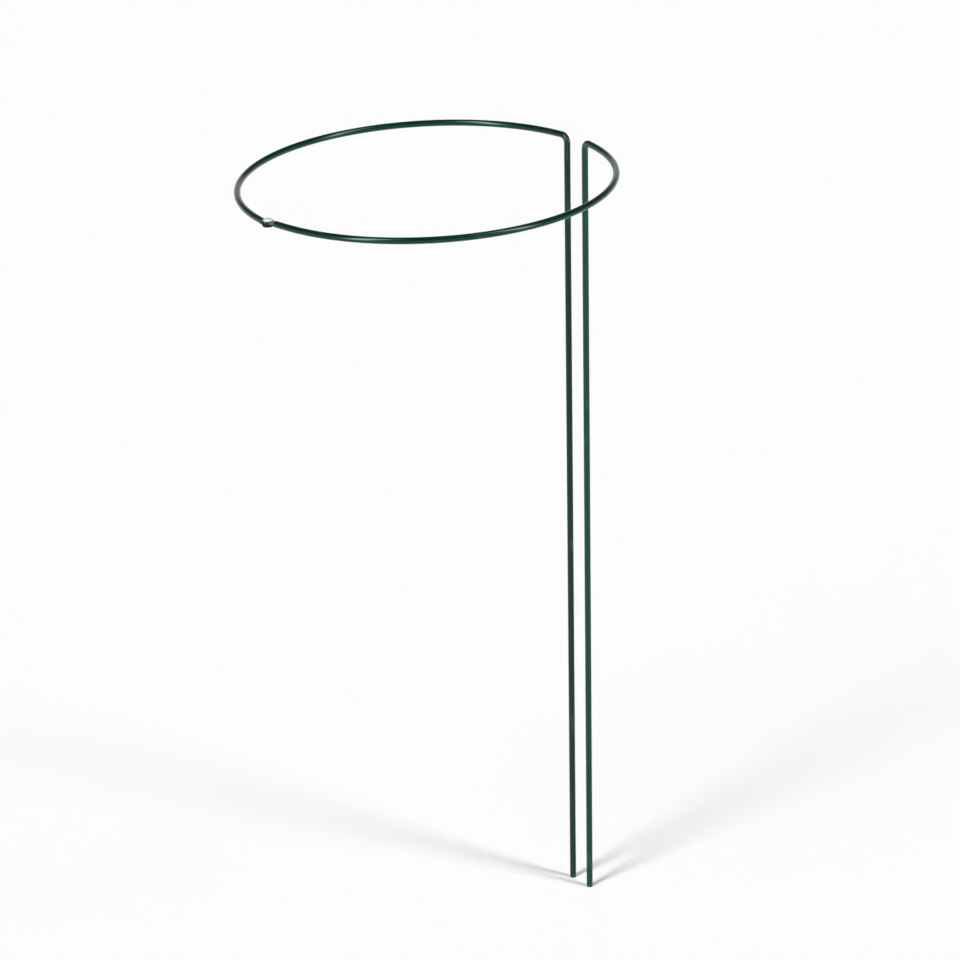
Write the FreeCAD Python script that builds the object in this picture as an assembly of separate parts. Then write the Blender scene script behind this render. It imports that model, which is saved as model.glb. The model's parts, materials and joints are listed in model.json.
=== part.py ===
import FreeCAD, Part
import math
import os

# A plant support made of two coated steel wires that mirror each other. Each wire is one leg and
# half of a ring. The half rings end in flat eyes, one on the other, and a rivet through both eyes
# is the hinge that lets the ring open. +Z runs up the legs and +Y points from the ring's centre
# to the legs. The origin is under the ring's centre, level with the feet.

# Wire
core_diameter = 5.0
coat_wall = 0.95

# Legs
leg_height = 876.0  # from the foot to the ring's centre line
leg_spacing = 30.5  # between the legs' centre lines
bend_radius = 8.0  # of the centre line, where a leg turns into the ring
leg_end_straight = 3.2  # between that bend and the ring's curve

# Ring
ring_diameter = 400.0  # over the coating
ring_fall = 2.15  # degrees, downwards from the legs to the hinge
hinge_end_straight = 17.5  # between the ring's curve and the neck of the eye

# Eyes, pressed from the ends of the steel wires
eye_diameter = 12.0
eye_thickness = 2.8
eye_edge_radius = 0.7
neck_width = 7.6
neck_length = 4.5

# Rivet
shank_diameter = 5.0
upper_head_diameter = 10.0
upper_head_height = 3.2
lower_head_diameter = 9.6
lower_head_height = 1.5
head_rim = 0.5  # the upright edge under each dome

# Clearances of the hinge
pivot_clearance = 0.05  # between the shank and the upper eye's hole, on the radius
face_clearance = 0.1  # under and over the upper eye

cut_overrun = 1.0

core_radius = core_diameter / 2
coat_radius = core_radius + coat_wall
ring_radius = ring_diameter / 2 - coat_radius
leg_run = bend_radius + leg_end_straight
hinge_run = hinge_end_straight + neck_length + eye_diameter / 2
stack_pitch = eye_thickness + face_clearance

# Where the straight runs meet the ring's curve, as angles from the legs' and the hinge's ends,
# and how far the legs and the hinge lie from the ring's centre
leg_angle = math.atan2(leg_run, ring_radius) + math.asin(leg_spacing / 2 / math.hypot(ring_radius, leg_run))
hinge_angle = math.atan2(hinge_run, ring_radius)
leg_depth = ring_radius * math.cos(leg_angle) + leg_run * math.sin(leg_angle)
hinge_depth = math.hypot(ring_radius, hinge_run)

# The left half slopes a little more than the right one, so that its eye lies under the other
stack_swing = math.degrees(math.asin(stack_pitch / 2 / (leg_depth + hinge_depth)))
left = -1
right = 1

up = FreeCAD.Vector(0, 0, 1)
crosswise = FreeCAD.Vector(1, 0, 0)
leg_line = FreeCAD.Vector(0, leg_depth * math.cos(math.radians(ring_fall)), leg_height)
hinge_tilt = FreeCAD.Rotation(crosswise, ring_fall)
hinge_axis = hinge_tilt.multVec(up)
half_tilt = {side: FreeCAD.Rotation(crosswise, ring_fall - side * stack_swing) for side in (left, right)}


def half_way(side, across, depth):
    """A direction in the sloping plane of one half ring."""
    return half_tilt[side].multVec(FreeCAD.Vector(side * across, depth, 0))


def half_point(side, across, depth):
    """A point in that plane, across and along from the ring's centre."""
    return leg_line + half_way(side, across, depth - leg_depth)


def section(centre, way, outer_radius, inner_radius):
    """The wire's cross-section: a disc, or a ring when it has an inner radius."""
    disc = Part.Face(Part.Wire(Part.makeCircle(outer_radius, centre, way)))
    if not inner_radius:
        return disc
    middle = Part.Face(Part.Wire(Part.makeCircle(inner_radius, centre, way)))
    return disc.cut(middle).Faces[0]


def straight_run(start, end, outer_radius, inner_radius):
    return section(start, end - start, outer_radius, inner_radius).extrude(end - start)


def curved_run(start, way, centre, axis, angle, outer_radius, inner_radius):
    face = section(start, way, outer_radius, inner_radius)
    return face.revolve(centre, axis, math.degrees(angle))


def joined(pieces):
    return pieces[0].fuse(pieces[1:]).removeSplitter()


def eye_centre(side):
    return half_point(side, 0, -hinge_depth)


def neck_start(side):
    """Where the round wire ends and its pressed neck begins."""
    way = half_way(side, math.cos(hinge_angle), math.sin(hinge_angle))
    return eye_centre(side) + way * (eye_diameter / 2 + neck_length)


def wire_runs(side, outer_radius, inner_radius):
    """One wire from its foot to the neck of its eye: leg, bend, half ring and the runs between."""
    corner = half_point(side, leg_spacing / 2, leg_depth)
    foot = corner - up * leg_height
    out_way = half_way(side, math.cos(leg_angle), -math.sin(leg_angle))
    turn = up.getAngle(out_way)
    setback = bend_radius * math.tan(turn / 2)
    bend_start = corner - up * setback
    bend_axis = up.cross(out_way).normalize()
    bend_centre = bend_start + bend_axis.cross(up) * bend_radius

    ring_start = half_point(side, ring_radius * math.sin(leg_angle), ring_radius * math.cos(leg_angle))
    ring_end = half_point(side, ring_radius * math.sin(hinge_angle), -ring_radius * math.cos(hinge_angle))
    ring_axis = half_tilt[side].multVec(up) * -side
    ring_turn = math.pi - leg_angle - hinge_angle
    radii = (outer_radius, inner_radius)
    return [
        straight_run(foot, bend_start, *radii),
        curved_run(bend_start, up, bend_centre, bend_axis, turn, *radii),
        straight_run(corner + out_way * setback, ring_start, *radii),
        curved_run(ring_start, out_way, half_point(side, 0, 0), ring_axis, ring_turn, *radii),
        straight_run(ring_end, neck_start(side), *radii),
    ]


def outline_corners(centre, across, upright):
    """Four points round a cross-section, with the side, top, other side and bottom between them."""
    return [centre + across * x + upright * y for x, y in ((1, -1), (1, 1), (-1, 1), (-1, -1))]


def round_outline(centre, across, upright, radius):
    """The wire's outline, divided where the pressed outline has its corners."""
    reach = radius * math.sqrt(0.5)
    corners = outline_corners(centre, across * reach, upright * reach)
    middles = [centre + across * radius, centre + upright * radius,
               centre - across * radius, centre - upright * radius]
    edges = [Part.Arc(corner, middle, corners[(i + 1) % len(corners)]).toShape()
             for i, (corner, middle) in enumerate(zip(corners, middles))]
    return Part.Wire(edges)


def pressed_outline(centre, across, upright):
    """The pressed neck's outline: flat above and below, with half-round sides."""
    flat = (neck_width - eye_thickness) / 2
    corners = outline_corners(centre, across * flat, upright * (eye_thickness / 2))
    edges = [
        Part.Arc(corners[0], centre + across * (neck_width / 2), corners[1]).toShape(),
        Part.LineSegment(corners[1], corners[2]).toShape(),
        Part.Arc(corners[2], centre - across * (neck_width / 2), corners[3]).toShape(),
        Part.LineSegment(corners[3], corners[0]).toShape(),
    ]
    return Part.Wire(edges)


def pressed_eye(side):
    """The wire's end pressed flat: a neck that widens from the round wire, and a round eye."""
    centre = eye_centre(side)
    half_normal = half_tilt[side].multVec(up)
    wire_across = half_way(side, -math.cos(hinge_angle), -math.sin(hinge_angle)).cross(half_normal)
    round_wire = round_outline(neck_start(side), wire_across, half_normal, core_radius)

    inward = hinge_tilt.multVec(FreeCAD.Vector(-side * math.cos(hinge_angle), -math.sin(hinge_angle), 0))
    flat_start = centre - inward * (eye_diameter / 2)
    flat_wire = pressed_outline(flat_start, inward.cross(hinge_axis), hinge_axis)
    taper = Part.makeLoft([round_wire, flat_wire], True, True)
    tongue = Part.Face(flat_wire).extrude(centre - flat_start)
    underside = centre - hinge_axis * (eye_thickness / 2)
    disc = Part.makeCylinder(eye_diameter / 2, eye_thickness, underside, hinge_axis)
    rims = [edge for edge in disc.Edges if isinstance(edge.Curve, Part.Circle)]
    return [taper, tongue, disc.makeFillet(eye_edge_radius, rims)]


def wire_core(side, hole_radius):
    steel = joined(wire_runs(side, core_radius, 0) + pressed_eye(side))
    hole_depth = eye_thickness + 2 * cut_overrun
    hole_base = eye_centre(side) - hinge_axis * (hole_depth / 2)
    hole = Part.makeCylinder(hole_radius, hole_depth, hole_base, hinge_axis)
    return steel.cut(hole)


def wire_coating(side):
    return joined(wire_runs(side, coat_radius, core_radius))


def rivet_head(base, way, diameter, height):
    """A domed head that stands on base: an upright rim, then the dome."""
    rim = base + crosswise * (diameter / 2)
    shoulder = rim + way * head_rim
    crown = base + way * height
    rise = height - head_rim
    dome_radius = (diameter * diameter / 4 + rise * rise) / (2 * rise)
    half_angle = math.atan2(rise, diameter / 2)
    middle = crown + crosswise * (dome_radius * math.sin(half_angle))
    middle -= way * (dome_radius * (1 - math.cos(half_angle)))
    edges = [
        Part.LineSegment(base, rim).toShape(),
        Part.LineSegment(rim, shoulder).toShape(),
        Part.Arc(shoulder, middle, crown).toShape(),
        Part.LineSegment(crown, base).toShape(),
    ]
    return Part.Face(Part.Wire(edges)).revolve(base, way, 360)


def hinge_rivet():
    bottom = eye_centre(left) - hinge_axis * (eye_thickness / 2)
    shank_length = 2 * (eye_thickness + face_clearance)
    shank = Part.makeCylinder(shank_diameter / 2, shank_length, bottom, hinge_axis)
    upper = rivet_head(bottom + hinge_axis * shank_length, hinge_axis, upper_head_diameter, upper_head_height)
    lower = rivet_head(bottom, hinge_axis * -1, lower_head_diameter, lower_head_height)
    return joined([shank, upper, lower])


nodes = {
    "left_wire_core": wire_core(left, shank_diameter / 2),
    "left_green_coating": wire_coating(left),
    "right_wire_core": wire_core(right, shank_diameter / 2 + pivot_clearance),
    "right_green_coating": wire_coating(right),
    "hinge_rivet": hinge_rivet(),
}

os.makedirs("parts", exist_ok=True)
for name, shape in nodes.items():
    shape.exportStep("parts/" + name + ".step")
    print(name, len(shape.Solids), "solid, valid", shape.isValid(), "volume", round(shape.Volume, 2))
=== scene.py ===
# Plant support: two green-coated steel wires that mirror each other and hinge on a rivet.
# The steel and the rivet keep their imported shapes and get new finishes, the plastic coats are made here.
import bpy
import json
import math
from mathutils import Matrix, Quaternion, Vector, noise


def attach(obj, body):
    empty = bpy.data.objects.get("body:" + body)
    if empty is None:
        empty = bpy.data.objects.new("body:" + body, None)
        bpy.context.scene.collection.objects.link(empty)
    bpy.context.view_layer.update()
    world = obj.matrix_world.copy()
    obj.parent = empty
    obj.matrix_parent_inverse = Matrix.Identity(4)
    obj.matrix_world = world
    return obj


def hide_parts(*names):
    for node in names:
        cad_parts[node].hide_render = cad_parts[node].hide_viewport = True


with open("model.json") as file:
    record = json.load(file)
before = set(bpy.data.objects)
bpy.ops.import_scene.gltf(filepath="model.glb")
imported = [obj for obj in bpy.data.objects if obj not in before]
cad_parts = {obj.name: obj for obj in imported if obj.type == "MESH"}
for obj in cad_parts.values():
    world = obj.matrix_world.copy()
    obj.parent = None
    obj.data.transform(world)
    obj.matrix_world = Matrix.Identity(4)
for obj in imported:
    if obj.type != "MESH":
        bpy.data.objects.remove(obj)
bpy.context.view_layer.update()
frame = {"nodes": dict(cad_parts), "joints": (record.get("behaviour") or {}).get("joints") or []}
hingePoint = frame["joints"][0]["pos_m"]
print("frame loaded,", len(frame["nodes"]), "nodes")

left, right = -1, 1
upward = Vector((0, 0, 1))


# course of the wires, in metres and degrees
wireCourse = {
    "coatRadius": 0.00345,
    "steelRadius": 0.0025,
    "legHeight": 0.876,
    "legSpacing": 0.0305,
    "bendRadius": 0.008,
    "legEndStraight": 0.0032,
    "ringRadius": 0.19655,      # to the wire's centre line
    "ringFall": 2.15,           # slope of the ring, down to the hinge
    "hingeEndStraight": 0.0175,
    "bareEnd": 0.0105,          # pressed neck and half the eye, with no coat
    "eyePitch": 0.0029,         # from one eye's middle to the other's
    "gap": 0.0026,              # between the stops along the wire
    "fineGap": 0.0008,          # and between the bend and the ring
    "bendStops": 28,
}


def courseNumbers():
    c = wireCourse
    legRun = c["bendRadius"] + c["legEndStraight"]
    hingeRun = c["hingeEndStraight"] + c["bareEnd"]
    legTurn = math.atan2(legRun, c["ringRadius"])
    legTurn += math.asin(c["legSpacing"] / 2 / math.hypot(c["ringRadius"], legRun))
    hingeTurn = math.atan2(hingeRun, c["ringRadius"])
    legDepth = c["ringRadius"] * math.cos(legTurn) + legRun * math.sin(legTurn)
    hingeDepth = math.hypot(c["ringRadius"], hingeRun)
    tilt = math.asin(c["eyePitch"] / 2 / (legDepth + hingeDepth))
    return legTurn, hingeTurn, legDepth, hingeDepth, tilt


legTurn, hingeTurn, legDepth, hingeDepth, eyeTilt = courseNumbers()


def halfWay(side, across, depth):        # a direction in one half ring's sloping plane
    slope = math.radians(wireCourse["ringFall"]) - side * eyeTilt
    return Quaternion((1, 0, 0), slope) @ Vector((side * across, depth, 0))


def halfPoint(side, across, depth):      # a point in that plane, from the ring's centre
    legLine = Vector((0, legDepth * math.cos(math.radians(wireCourse["ringFall"])), wireCourse["legHeight"]))
    return legLine + halfWay(side, across, depth - legDepth)


def straightStops(start, end, gap):
    way = (end - start).normalized()
    count = max(1, round((end - start).length / gap))
    return [(start.lerp(end, i / count), way) for i in range(count + 1)]


def curvedStops(start, way, centre, axis, angle, count):
    stops = []
    for i in range(count + 1):
        turn = Quaternion(axis, angle * i / count)
        stops.append((centre + turn @ (start - centre), turn @ way))
    return stops


def wireStops(side):
    # centre line from the foot to the end of the coat, and where its bend lies
    c = wireCourse
    corner = halfPoint(side, c["legSpacing"] / 2, legDepth)
    outWay = halfWay(side, math.cos(legTurn), -math.sin(legTurn)).normalized()
    turn = upward.angle(outWay)
    setback = c["bendRadius"] * math.tan(turn / 2)
    bendAxis = upward.cross(outWay).normalized()
    bendStart = corner - upward * setback
    bendCentre = bendStart + bendAxis.cross(upward) * c["bendRadius"]
    foot = corner - upward * c["legHeight"]
    ringStart = halfPoint(side, c["ringRadius"] * math.sin(legTurn), c["ringRadius"] * math.cos(legTurn))
    ringEnd = halfPoint(side, c["ringRadius"] * math.sin(hingeTurn), -c["ringRadius"] * math.cos(hingeTurn))
    ringAxis = halfWay(right, 1, 0).cross(halfWay(side, 0, 1)) * -side
    ringAngle = math.pi - legTurn - hingeTurn
    ringCount = round(ringAngle * c["ringRadius"] / c["gap"])
    lastWay = halfWay(side, -math.cos(hingeTurn), -math.sin(hingeTurn)).normalized()
    coatEnd = halfPoint(side, 0, -hingeDepth) - lastWay * c["bareEnd"]

    stops = straightStops(foot, bendStart, c["gap"])
    stops += curvedStops(bendStart, upward, bendCentre, bendAxis, turn, c["bendStops"])[1:]
    stops += straightStops(corner + outWay * setback, ringStart, c["fineGap"])[1:]
    stops += curvedStops(ringStart, outWay, halfPoint(side, 0, 0), ringAxis, ringAngle, ringCount)[1:]
    stops += straightStops(ringEnd, coatEnd, c["gap"])[1:]
    bendFrom = (bendStart - foot).length
    return stops, (bendFrom, bendFrom + turn * c["bendRadius"], bendCentre)


# plastic coats, all lengths in metres
coatLook = {
    "sides": 32,
    "overlap": 0.00002,                     # how far the coat's inside reaches into the steel
    "unevenness": 0.00004,                  # how far the dipped plastic's thickness wanders
    "waves": ((1.0, 0.7, 22, 9), (0.5, 1.5, 90, -4)),   # share, detail round and along, seed
    "bendReach": (-0.2, 1.2),               # where the bend marks the coat, in shares of the bend
    "bendRipple": 0.00007,                  # small folds where the bend squeezes the plastic
    "bendFolds": 4.5,
    "bendFlat": 0.00006,                    # the bending roller's mark on the outside
    # edges of the coat from the foot's inside out and from the neck in: share of its thickness, shift
    "footEdge": ((0, 0.0015), (0, 0.00002), (0.78, 0), (0.93, 0.00006), (1, 0.00022)),
    "hemEdge": ((1, -0.0009), (0.9, -0.00035), (0.62, -0.00008), (0.25, 0), (0, -0.00006), (0, -0.0015)),
    "hemWander": 0.0004,                    # how ragged the edge at the neck is
    "rubReach": (-0.6, 1.4),                # where the bend is rubbed pale, in shares of the bend
    "rubbed": 0.8,
    "scuffed": 0.7,                         # at both ends
    "footScuff": 0.004,
    "hemScuff": 0.0022,
    "knockFrom": 0.42,                      # knocks show where the noise is above this
    "knockGain": 2.2,
    # how fresh the green is: 0 deep, 1 fresh
    "ringShade": 0.42,
    "footShade": {left: 0.28, right: 0.75},
    "legShade": {left: 0.05, right: 0.95},
    "shadeRise": 1.6,                       # how quickly a foot's shade turns into its leg's
    "shadeStart": 0.15,
    "ringFrom": 0.02,                       # along the wire, past the leg's height
}


def bendShare(along, bend):              # 0 where the bend starts, 1 where it ends
    return (along - bend[0]) / (bend[1] - bend[0])


def swell(value, low, high):             # 1 halfway between low and high, 0 at both and beyond them
    if value <= low or value >= high:
        return 0.0
    return math.sin(math.pi * (value - low) / (high - low)) ** 2


def coatRadius(side, along, angle, inward, bend):
    # radius of the plastic at one point of its surface, never more than the real one
    look = coatLook
    around = Vector((math.cos(angle), math.sin(angle)))
    wander, most = 0.0, 0.0
    for share, roundDetail, alongDetail, seed in look["waves"]:
        spot = Vector((around.x * roundDetail, around.y * roundDetail + side * seed, along * alongDetail))
        wander += share * noise.noise(spot)
        most += share
    radius = wireCourse["coatRadius"] - look["unevenness"] * (1 - wander / most) * 0.5
    turned = bendShare(along, bend)
    window = swell(turned, *look["bendReach"])
    folds = 0.5 + 0.5 * math.sin(turned * math.tau * look["bendFolds"])
    radius -= look["bendRipple"] * window * max(0.0, inward) ** 2 * folds
    radius -= look["bendFlat"] * window * max(0.0, -inward) ** 6
    return radius


def coatWear(side, along, angle, inward, bend, length):
    # 1 where the plastic is rubbed pale: inside the bend, at its ends, and a few knocks
    look = coatLook
    rubbed = swell(bendShare(along, bend), *look["rubReach"]) * (0.25 + 0.75 * max(0.0, inward) ** 2)
    ends = math.exp(-along / look["footScuff"]) + math.exp(-(length - along) / look["hemScuff"])
    spot = Vector((angle * 0.6 + side * 3, side * 7, along * 38))
    knock = max(0.0, noise.noise(spot) - look["knockFrom"]) * look["knockGain"]
    return min(1.0, rubbed * look["rubbed"] + ends * look["scuffed"] + knock)


def coatShade(side, along):
    # how fresh the green is along the wire: the left leg is the darkest stretch, and low down each leg takes
    # its foot's value
    look = coatLook
    if along > wireCourse["legHeight"] + look["ringFrom"]:
        return look["ringShade"]
    low, high = look["footShade"][side], look["legShade"][side]
    rise = along / wireCourse["legHeight"] * look["shadeRise"] - look["shadeStart"]
    return low + (high - low) * min(1.0, max(0.0, rise))


def hemShift(side, angle):               # how far the coat's edge at the neck stands back
    edge = noise.noise(Vector((math.cos(angle) * 1.3, math.sin(angle) * 1.3, side * 5)))
    return max(0.0, coatLook["hemWander"] * (0.5 + edge))


def carriedNormals(stops):
    # how far along the wire each stop is, and a direction across it that doesn't twist
    alongs, normals = [0.0], [Vector((0, 1, 0))]
    for before, after in zip(stops, stops[1:]):
        alongs.append(alongs[-1] + (after[0] - before[0]).length)
        carried = before[1].rotation_difference(after[1]) @ normals[-1]
        normals.append((carried - after[1] * carried.dot(after[1])).normalized())
    return alongs, normals


def coatFaces(ringCount):
    sides = coatLook["sides"]
    faces = []
    for i in range(ringCount - 1):
        for j in range(sides):
            k = (j + 1) % sides
            faces.append((i * sides + j, (i + 1) * sides + j, (i + 1) * sides + k, i * sides + k))
    faces.append(tuple(range(sides)))
    faces.append(tuple(range(ringCount * sides - 1, (ringCount - 1) * sides - 1, -1)))
    return faces


def makeCoat(side, name):
    stops, bend = wireStops(side)
    alongs, normals = carriedNormals(stops)
    last = len(stops) - 1
    inner = wireCourse["steelRadius"] - coatLook["overlap"]
    rings = [(0, share, shift) for share, shift in coatLook["footEdge"]]
    rings += [(i, 1, 0) for i in range(1, last)]
    rings += [(last, share, shift) for share, shift in coatLook["hemEdge"]]

    verts, coords, wears, shades = [], [], [], []
    for i, share, shift in rings:
        point, way = stops[i]
        across = way.cross(normals[i])
        along = alongs[i] + shift
        towardCentre = (bend[2] - point).normalized()
        for j in range(coatLook["sides"]):
            angle = math.tau * j / coatLook["sides"]
            around = normals[i] * math.cos(angle) + across * math.sin(angle)
            inward = around.dot(towardCentre)
            radius = inner + (coatRadius(side, along, angle, inward, bend) - inner) * share
            hem = hemShift(side, angle) if i == last else 0.0
            verts.append(point + way * (shift - hem) + around * radius)
            coords += [math.cos(angle) * radius * 1000, math.sin(angle) * radius * 1000, along * 1000]
            wears.append(coatWear(side, along, angle, inward, bend, alongs[-1]))
            shades.append(coatShade(side, along))

    faces = coatFaces(len(rings))
    mesh = bpy.data.meshes.new(name)
    mesh.from_pydata([tuple(v) for v in verts], [], faces)
    mesh.polygons.foreach_set("use_smooth", [True] * len(faces))
    mesh.attributes.new("wireCoord", "FLOAT_VECTOR", "POINT").data.foreach_set("vector", coords)
    mesh.attributes.new("wear", "FLOAT", "POINT").data.foreach_set("value", wears)
    mesh.attributes.new("shade", "FLOAT", "POINT").data.foreach_set("value", shades)
    coat = bpy.data.objects.new(name, mesh)
    bpy.context.scene.collection.objects.link(coat)
    return coat


leftCoat = makeCoat(left, "leftCoat")
rightCoat = makeCoat(right, "rightCoat")
print("coats made,", len(leftCoat.data.vertices) + len(rightCoat.data.vertices), "points")


# short calls for building node trees
def newFinish(name):
    material = bpy.data.materials.new(name)
    material.use_nodes = True
    return material, material.node_tree, material.node_tree.nodes["Principled BSDF"]


def setInput(tree, socket, value):
    if isinstance(value, bpy.types.NodeSocket):
        tree.links.new(value, socket)
    else:
        socket.default_value = value


def addNode(tree, kind, inputs=None, **settings):
    made = tree.nodes.new("ShaderNode" + kind)
    for key, value in settings.items():
        setattr(made, key, value)
    for key, value in (inputs or {}).items():
        setInput(tree, made.inputs[key], value)
    return made


def clouds(tree, coord, scale, detail=3.0, rough=0.55):
    inputs = {"Vector": coord, "Scale": scale, "Detail": detail, "Roughness": rough}
    return addNode(tree, "TexNoise", inputs).outputs["Fac"]


def stretched(tree, coord, scales):
    return addNode(tree, "VectorMath", {0: coord, 1: scales}, operation="MULTIPLY").outputs["Vector"]


def shifted(tree, coord, origin):
    return addNode(tree, "VectorMath", {0: coord, 1: origin}, operation="SUBTRACT").outputs["Vector"]


def measured(tree, coord):
    return addNode(tree, "VectorMath", {0: coord}, operation="LENGTH").outputs["Value"]


def facing(tree, coord, way):
    return addNode(tree, "VectorMath", {0: coord, 1: way}, operation="DOT_PRODUCT").outputs["Value"]


def spread(tree, value, fromLow, fromHigh, toLow, toHigh, kind="LINEAR"):
    inputs = {"Value": value, "From Min": fromLow, "From Max": fromHigh, "To Min": toLow, "To Max": toHigh}
    return addNode(tree, "MapRange", inputs, interpolation_type=kind).outputs["Result"]


def combined(tree, operation, a, b, clamp=False):
    return addNode(tree, "Math", {0: a, 1: b}, operation=operation, use_clamp=clamp).outputs["Value"]


def roughened(tree, roughness, mask, amount):
    return combined(tree, "ADD", roughness, combined(tree, "MULTIPLY", mask, amount), True)


def mixed(tree, share, a, b):
    return addNode(tree, "Mix", {0: share, 6: a, 7: b}, data_type="RGBA").outputs[2]


def bumped(tree, height, distance, strength, after=None):
    made = addNode(tree, "Bump", {"Height": height, "Distance": distance, "Strength": strength})
    if after:
        tree.links.new(after, made.inputs["Normal"])
    return made.outputs["Normal"]


def connect(tree, shader, colour, roughness, normal):
    setInput(tree, shader.inputs["Base Color"], colour)
    setInput(tree, shader.inputs["Roughness"], roughness)
    setInput(tree, shader.inputs["Normal"], normal)


# green plastic of the coats, patterned in millimetres round and along the wire
greenPlastic = {
    "deep": (0.0002, 0.008, 0.0045, 1),
    "fresh": (0.0008, 0.031, 0.0187, 1),
    "rubbed": (0.045, 0.130, 0.100, 1),
    "dust": (0.20, 0.24, 0.21, 1),
    "smooth": 0.13,
    "dull": 0.25,
    "scuffDull": 0.28,                      # how much duller scuffs and dust make it
    "dustDull": 0.4,
    "gloss": 0.40,
    "glossTint": (0.62, 1.0, 0.96, 1),
    "driftScale": (0.03, 0.03, 0.011),      # broad changes of the dye
    "streakScale": (1.6, 1.6, 0.03),        # lines that the dipping left along the wire
    "scratchScale": (3.4, 3.4, 0.5),
}


def makeGreenPlastic():
    look = greenPlastic
    material, tree, shader = newFinish("greenPlastic")
    coord = addNode(tree, "Attribute", attribute_name="wireCoord").outputs["Vector"]
    wear = addNode(tree, "Attribute", attribute_name="wear").outputs["Fac"]
    shade = addNode(tree, "Attribute", attribute_name="shade").outputs["Fac"]
    drift = clouds(tree, stretched(tree, coord, look["driftScale"]), 1.0)
    streaks = clouds(tree, stretched(tree, coord, look["streakScale"]), 1.0, 2.0)
    mottle = clouds(tree, coord, 0.9, 4.0, 0.6)
    peel = clouds(tree, coord, 1.9, 2.0, 0.5)
    scratch = clouds(tree, stretched(tree, coord, look["scratchScale"]), 1.3, 4.0, 0.7)
    specks = clouds(tree, coord, 4.5, 1.0, 0.5)

    tone = combined(tree, "ADD", shade, spread(tree, drift, 0.3, 0.7, -0.22, 0.22), True)
    colour = mixed(tree, tone, look["deep"], look["fresh"])
    colour = mixed(tree, spread(tree, streaks, 0.45, 0.8, 0.0, 0.35), colour, look["fresh"])
    scuffs = combined(tree, "MULTIPLY", wear, spread(tree, scratch, 0.44, 0.6, 0.0, 1.0), True)
    colour = mixed(tree, combined(tree, "MULTIPLY", scuffs, 0.8), colour, look["rubbed"])
    dusty = spread(tree, specks, 0.73, 0.80, 0.0, 0.6)
    colour = mixed(tree, dusty, colour, look["dust"])

    roughness = spread(tree, mottle, 0.3, 0.7, look["smooth"], look["dull"])
    roughness = roughened(tree, roughness, scuffs, look["scuffDull"])
    roughness = roughened(tree, roughness, dusty, look["dustDull"])

    normal = bumped(tree, streaks, 0.00003, 0.5)
    normal = bumped(tree, peel, 0.000012, 0.6, normal)
    normal = bumped(tree, combined(tree, "MULTIPLY", scuffs, -1.0), 0.00003, 0.5, normal)
    connect(tree, shader, colour, roughness, normal)
    shader.inputs["Specular IOR Level"].default_value = look["gloss"]
    shader.inputs["Specular Tint"].default_value = look["glossTint"]
    return material


# galvanised wire: near-black round the hinge as burnt plastic and painted shade, paler on one side as
# painted light
zincWire = {
    "bright": (0.62, 0.64, 0.63, 1),
    "dark": (0.34, 0.36, 0.35, 1),
    "bloom": (0.50, 0.52, 0.51, 1),
    # near-black round the hinge: burnt plastic, and painted shade on the eyes
    "scorchedAndShaded": (0.006, 0.011, 0.010, 1),
    "paintedLitScorch": (0.075, 0.115, 0.100, 1),    # painted light: the burnt plastic paler on its lit side
    "paintedLightWay": (0.593, 0.805, 0.0),       # the way in which the painted light grows, towards the camera's right
    "paintedLightSpan": {"left": (0.0085, 0.0115), "right": (-0.0005, 0.0025)},   # from the rivet's axis
    "bareShare": {"left": 0.02, "right": 0.03},
    "scorchShadeReach": 0.0113,                  # from the rivet's axis
    "scorchShadeFade": 0.0012,
    "scorchShadeWander": 0.0016,
    "smooth": 0.34,
    "dull": 0.58,
    "scorchShadeDull": 0.12,
    "scorchShadeMetal": 0.35,
    "scorchShadeGloss": 0.22,                      # bare zinc is metal and ignores it
}


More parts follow.
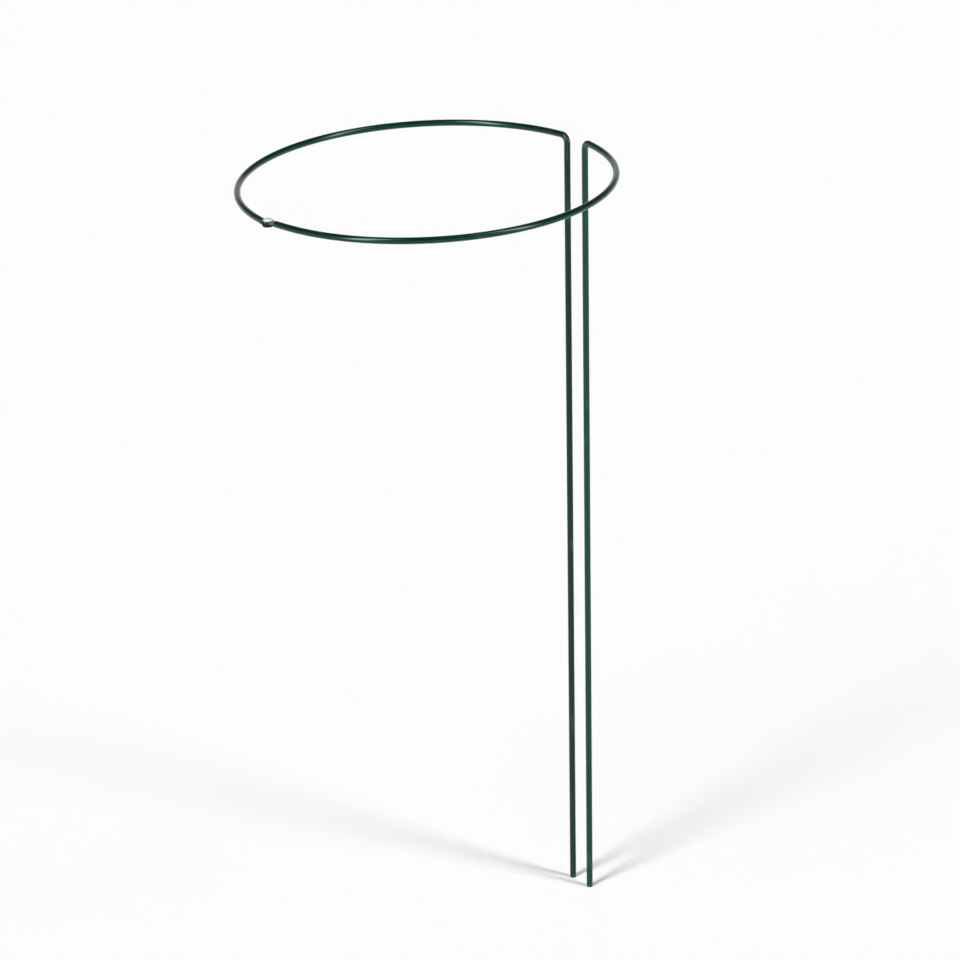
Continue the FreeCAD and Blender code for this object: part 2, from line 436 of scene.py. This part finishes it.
def makeZincWire(half):
    look = zincWire
    material, tree, shader = newFinish(half + "Zinc")
    coord = addNode(tree, "TexCoord").outputs["Object"]
    grain = clouds(tree, coord, 900.0, 4.0, 0.6)
    bloom = clouds(tree, coord, 260.0, 3.0, 0.6)
    flakes = clouds(tree, coord, 1400.0, 5.0, 0.75)
    spangle = addNode(tree, "TexVoronoi", {"Vector": coord, "Scale": 620.0}).outputs["Distance"]
    fromHinge = shifted(tree, coord, hingePoint)
    away = measured(tree, fromHinge)
    sideways = facing(tree, fromHinge, look["paintedLightWay"])

    colour = mixed(tree, spread(tree, grain, 0.3, 0.7, 0.0, 1.0), look["dark"], look["bright"])
    colour = mixed(tree, spread(tree, bloom, 0.55, 0.75, 0.0, 0.7), colour, look["bloom"])
    # painted shade and burnt plastic: dark within a wandering reach of the rivet's axis, broken by bare
    # patches
    wander = spread(tree, flakes, 0.25, 0.75, -look["scorchShadeWander"], look["scorchShadeWander"])
    edge = combined(tree, "ADD", away, wander)
    scorchAndShade = spread(tree, edge, look["scorchShadeReach"] - look["scorchShadeFade"], look["scorchShadeReach"], 1.0, 0.0)
    patches = addNode(tree, "Mix", {0: 0.45, 2: bloom, 3: flakes}).outputs[0]
    bareShare = look["bareShare"][half]
    bare = spread(tree, patches, 0.60 - bareShare, 0.66 - bareShare, 0.0, 0.75)
    scorchAndShade = combined(tree, "SUBTRACT", scorchAndShade, bare, True)
    # painted light: the scorch turns paler towards the camera's right, on the right eye most of all
    paintedLit = spread(tree, sideways, *look["paintedLightSpan"][half], 0.0, 1.0)
    colour = mixed(tree, scorchAndShade, colour, mixed(tree, paintedLit, look["scorchedAndShaded"], look["paintedLitScorch"]))

    roughness = spread(tree, spangle, 0.0, 0.7, look["smooth"], look["dull"])
    roughness = roughened(tree, roughness, scorchAndShade, look["scorchShadeDull"])
    normal = bumped(tree, grain, 0.00002, 0.5)
    normal = bumped(tree, scorchAndShade, 0.00005, 0.6, normal)
    connect(tree, shader, colour, roughness, normal)
    setInput(tree, shader.inputs["Metallic"], spread(tree, scorchAndShade, 0.0, 1.0, 1.0, look["scorchShadeMetal"]))
    shader.inputs["Specular IOR Level"].default_value = look["scorchShadeGloss"]
    return material


# zinc-plated rivet, with grime and painted shade at the rim
rivetZinc = {
    "bright": (0.92, 0.93, 0.92, 1),
    "grey": (0.74, 0.76, 0.75, 1),
    "grimeAndShade": (0.10, 0.12, 0.10, 1),
    "rim": (0.0038, 0.0049),                # where the grime and painted shade start and are thickest
    "smooth": 0.36,
    "dull": 0.52,
    "grimeShadeDull": 0.25,
    "metallic": 0.6,
}


def makeRivetZinc():
    look = rivetZinc
    material, tree, shader = newFinish("rivetZinc")
    coord = addNode(tree, "TexCoord").outputs["Object"]
    reach = measured(tree, stretched(tree, shifted(tree, coord, hingePoint), (1.0, 1.0, 0.0)))
    grain = clouds(tree, coord, 1500.0, 4.0, 0.6)
    dents = clouds(tree, coord, 420.0, 2.0, 0.5)
    rings = {"W": combined(tree, "MULTIPLY", reach, 9000.0), "Scale": 1.0, "Detail": 2.0}
    lines = addNode(tree, "TexNoise", rings, noise_dimensions="1D").outputs["Fac"]

    colour = mixed(tree, spread(tree, grain, 0.3, 0.7, 0.0, 1.0), look["grey"], look["bright"])
    # painted shade and grime: darker round the head's rim where it meets the eyes, broken up by the dents
    rim = spread(tree, reach, *look["rim"], 0.0, 1.0)
    grimeAndShadeMask = combined(tree, "MULTIPLY", rim, spread(tree, dents, 0.4, 0.6, 0.15, 0.8), True)
    colour = mixed(tree, combined(tree, "MULTIPLY", grimeAndShadeMask, 0.55), colour, look["grimeAndShade"])
    roughness = spread(tree, grain, 0.3, 0.7, look["smooth"], look["dull"])
    roughness = roughened(tree, roughness, grimeAndShadeMask, look["grimeShadeDull"])
    normal = bumped(tree, lines, 0.000012, 0.5)
    normal = bumped(tree, dents, 0.00006, 0.5, normal)
    connect(tree, shader, colour, roughness, normal)
    shader.inputs["Metallic"].default_value = look["metallic"]
    return material


def dress(piece, finish):
    piece.data.materials.clear()
    piece.data.materials.append(finish)
    for polygon in piece.data.polygons:
        polygon.material_index = 0


greenPlasticFinish = makeGreenPlastic()
for coat, half in ((leftCoat, "left"), (rightCoat, "right")):
    dress(coat, greenPlasticFinish)
    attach(coat, half + "_half")
    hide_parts(half + "_green_coating")
    dress(frame["nodes"][half + "_wire_core"], makeZincWire(half))
dress(frame["nodes"]["hinge_rivet"], makeRivetZinc())
print("finishes on")


# floor, wall and lamps
studio = {
    "floor": (0.97, 0.97, 0.97, 1),
    "floorSize": 120.0,
    "floorDrop": 0.0001,          # keeps the floor just under the feet
    "wall": 0.97,                 # pale wall all round, low down
    "wallTop": (0.10, 0.22),      # heights at which it fades, as the sine of the elevation
    "wallRise": 0.30,             # how much higher it stands on the far side
    "farSide": 233.6,             # azimuth of the far side, seen from the camera
    "farSpan": (0.80, 0.97),      # cosines of the angle from there at which it starts to rise and is up
    "ceiling": 0.07,
    "strips": (                   # tall soft boxes: azimuth, elevations, each lamp's strength and width
        ("leftStrip", 12, (2, 13, 24, 35, 46, 57), 0.59, 14),
        ("rightStrip", 112, (2, 13, 24, 35, 46, 57), 0.42, 12),
    ),
}


def toward(azimuth, elevation):
    a, e = math.radians(azimuth), math.radians(elevation)
    return Vector((math.sin(a) * math.cos(e), -math.cos(a) * math.cos(e), math.sin(e)))


def makeFloor():
    half = studio["floorSize"] / 2
    corners = [(-half, -half, 0), (half, -half, 0), (half, half, 0), (-half, half, 0)]
    mesh = bpy.data.meshes.new("floor")
    mesh.from_pydata(corners, [], [(0, 1, 2, 3)])
    floor = bpy.data.objects.new("floor", mesh)
    floor.location.z = -studio["floorDrop"]
    bpy.context.scene.collection.objects.link(floor)
    material, tree, shader = newFinish("floorPaper")
    shader.inputs["Base Color"].default_value = studio["floor"]
    shader.inputs["Roughness"].default_value = 0.9
    shader.inputs["Specular IOR Level"].default_value = 0.0
    mesh.materials.append(material)


def makeWall():
    world = bpy.data.worlds.new("studioWall")
    world.use_nodes = True
    tree = world.node_tree
    background = tree.nodes["Background"]
    coord = addNode(tree, "TexCoord").outputs["Generated"]
    height = addNode(tree, "SeparateXYZ", {0: coord}).outputs["Z"]
    farness = facing(tree, coord, toward(studio["farSide"], 0))
    rise = spread(tree, farness, *studio["farSpan"], 0.0, studio["wallRise"], "SMOOTHSTEP")
    height = combined(tree, "SUBTRACT", height, rise)
    level = spread(tree, height, *studio["wallTop"], studio["wall"], studio["ceiling"], "SMOOTHSTEP")
    setInput(tree, background.inputs["Strength"], level)
    background.inputs["Color"].default_value = (1, 1, 1, 1)
    bpy.context.scene.world = world


def makeStrips():
    for name, azimuth, elevations, strength, width in studio["strips"]:
        for elevation in elevations:
            data = bpy.data.lights.new(name, "SUN")
            data.energy = strength
            data.angle = math.radians(width)
            lamp = bpy.data.objects.new(name + str(elevation), data)
            lamp.rotation_mode = "QUATERNION"
            lamp.rotation_quaternion = toward(azimuth, elevation).to_track_quat("Z", "Y")
            bpy.context.scene.collection.objects.link(lamp)


makeFloor()
makeWall()
makeStrips()
print("studio set up")


# camera, matched to the photograph
photoCamera = {
    "azimuth": 53.61,
    "elevation": 20.95,
    "roll": -0.94,
    "distance": 4.315,            # metres to the ring's centre, level with the leg tops
    "focalPixels": 4168.4,
    "aimPixel": (426.5, 172.9),   # where that point lies in the picture
    "frame": 960,
    "sensor": 36.0,
}


def makeCamera():
    look = photoCamera
    back = toward(look["azimuth"], look["elevation"])
    a, roll = math.radians(look["azimuth"]), math.radians(look["roll"])
    level = Vector((math.cos(a), math.sin(a), 0))
    rise = level.cross(-back)
    across = level * math.cos(roll) + rise * math.sin(roll)
    upright = rise * math.cos(roll) - level * math.sin(roll)
    perPixel = look["distance"] / look["focalPixels"]
    offX, offY = (pixel - look["frame"] / 2 for pixel in look["aimPixel"])

    data = bpy.data.cameras.new("photoCamera")
    data.sensor_width = look["sensor"]
    data.lens = look["focalPixels"] / look["frame"] * data.sensor_width
    data.clip_end = 200.0
    camera = bpy.data.objects.new("photoCamera", data)
    camera.rotation_mode = "QUATERNION"
    camera.rotation_quaternion = Matrix((across, upright, back)).transposed().to_quaternion()
    camera.location = Vector((0, 0, wireCourse["legHeight"])) + back * look["distance"]
    camera.location += (upright * offY - across * offX) * perPixel
    bpy.context.scene.collection.objects.link(camera)
    bpy.context.scene.camera = camera


makeCamera()
bpy.context.scene.view_settings.view_transform = "Standard"
print("camera placed")
